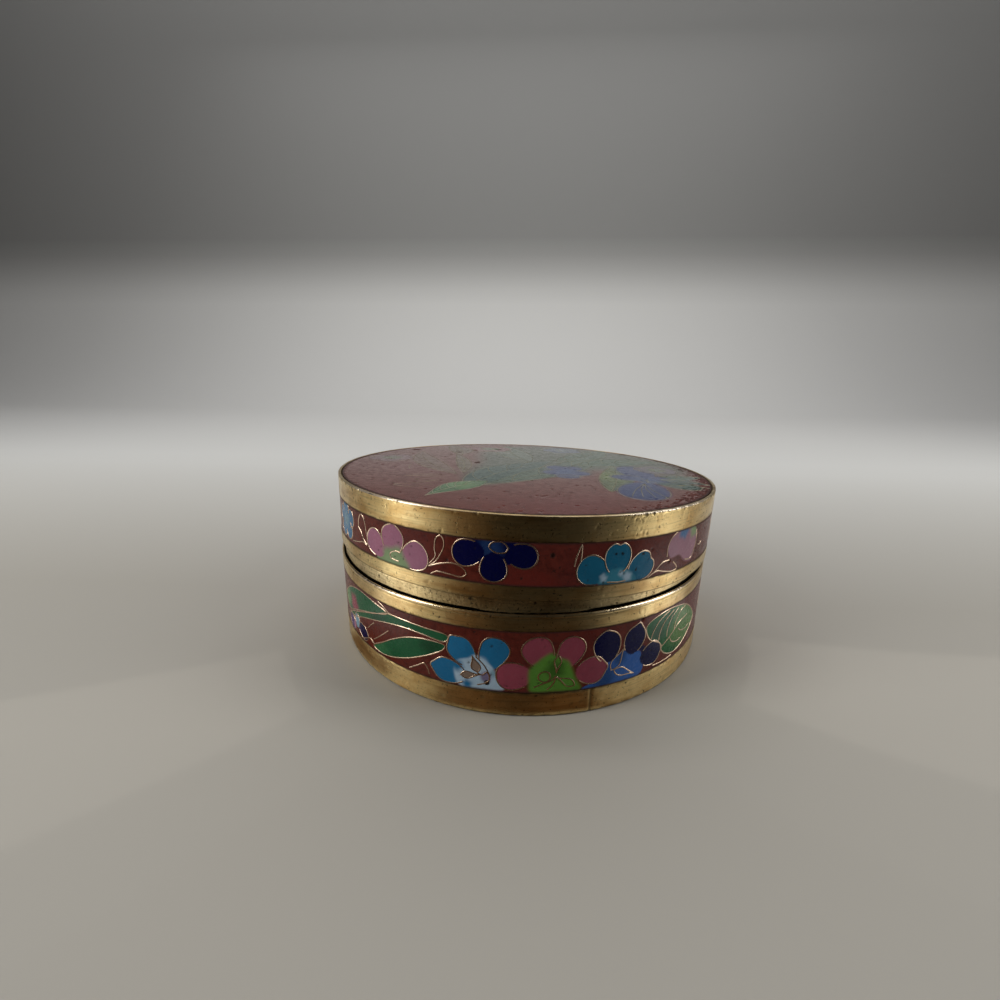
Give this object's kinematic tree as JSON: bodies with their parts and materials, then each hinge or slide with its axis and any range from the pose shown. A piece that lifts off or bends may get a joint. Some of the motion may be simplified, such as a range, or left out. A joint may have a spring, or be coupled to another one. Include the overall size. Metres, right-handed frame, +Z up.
{
  "type": "cloisonne enamel box",
  "caption": "Low round box of brass with flower-patterned cloisonne enamel on its side and lid, and a lid that lifts off a collar.",
  "frame": {"origin": "on the table plane, under the middle of the whole box's bounding box", "axes": "+Z up through the lid; -Y faces the viewer; +X to the viewer's right"},
  "size_m": [0.1006, 0.1004, 0.0427],
  "materials": {
    "brass": "satin, hand polished, with tarnish pits",
    "worn_brass": "rough, greyed and rubbed by the lid",
    "enamel": "glossy fired enamel between fine brass wires, with small pits",
    "lining_enamel": "plain glossy fired enamel"
  },
  "bodies": {
    "root": {"base_body": "worn_brass", "base_foot_band": "brass", "base_side_enamel": "enamel", "base_rim_band": "brass", "lid_body": "brass", "lid_lower_band": "brass", "lid_side_enamel": "enamel", "lid_upper_band": "brass", "lid_top_enamel": "enamel"}
  },
  "joints": []
}
